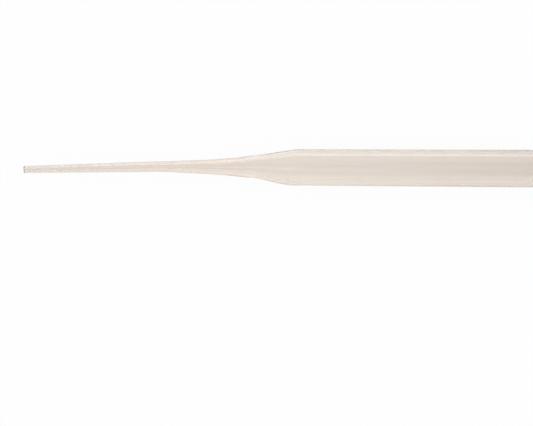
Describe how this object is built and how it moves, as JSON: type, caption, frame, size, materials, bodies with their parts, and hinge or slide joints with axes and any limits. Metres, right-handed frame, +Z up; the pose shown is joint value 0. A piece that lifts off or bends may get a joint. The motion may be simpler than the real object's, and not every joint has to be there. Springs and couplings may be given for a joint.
{
  "type": "dropper pipette",
  "caption": "Slim hazy plastic tube drawn out at one end into a long fine tip, open at both ends; a rubber bulb pushed over the wide mouth draws up liquid and lets it out in drops.",
  "frame": {"origin": "on the surface that the pipette lies on, below the middle of its length and the middle of its barrel's width", "axes": "+X along the barrel towards the wide mouth, so the fine tip is at -X; +Z up; the tip leans a little to -Y"},
  "size_m": [0.15, 0.007, 0.007],
  "materials": {
    "hazy_plastic": "smooth and slightly hazy, see-through, faint warm beige"
  },
  "bodies": {
    "root": {"pipette": "hazy_plastic"}
  },
  "joints": []
}
